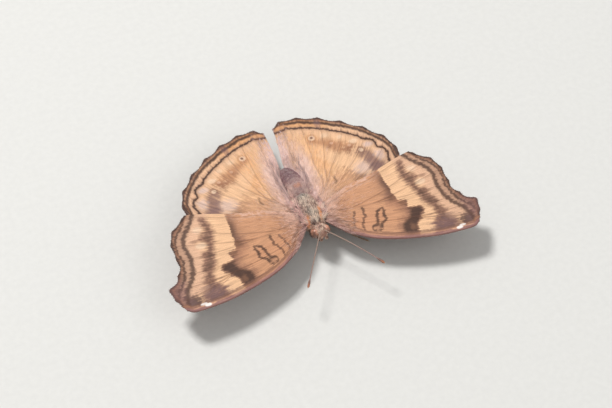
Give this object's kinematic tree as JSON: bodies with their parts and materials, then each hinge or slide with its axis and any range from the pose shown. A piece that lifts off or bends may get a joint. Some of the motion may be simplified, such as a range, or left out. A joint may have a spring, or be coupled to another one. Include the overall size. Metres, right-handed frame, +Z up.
{
  "type": "chocolate pansy butterfly",
  "caption": "Still, life-size brown butterfly, Junonia iphita, basking on its feet with scalloped, veined wings spread flat and clubbed feelers forward.",
  "frame": {"origin": "on the floor that the feet stand on, under the middle of the model's box", "axes": "+Z up, the head looks along -Y, the left wings lie on +X"},
  "size_m": [0.0622, 0.0398, 0.0084],
  "materials": {
    "wing": "matte scales on a thin dry membrane",
    "coat": "fine short hair over a brown cuticle",
    "eye": "faceted, satin gloss",
    "feeler": "fine scales, orange-brown clubs",
    "leg": "fine scales on a hard cuticle"
  },
  "bodies": {
    "root": {"thorax": "coat", "abdomen": "coat", "head": "coat", "eye_left": "eye", "eye_right": "eye", "antenna_left": "feeler", "antenna_right": "feeler", "palp_left": "coat", "palp_right": "coat", "proboscis": "leg", "forewing_left": "wing", "forewing_right": "wing", "hindwing_left": "wing", "hindwing_right": "wing", "foreleg_left": "leg", "foreleg_right": "leg", "midleg_left": "leg", "midleg_right": "leg", "hindleg_left": "leg", "hindleg_right": "leg"}
  },
  "joints": []
}
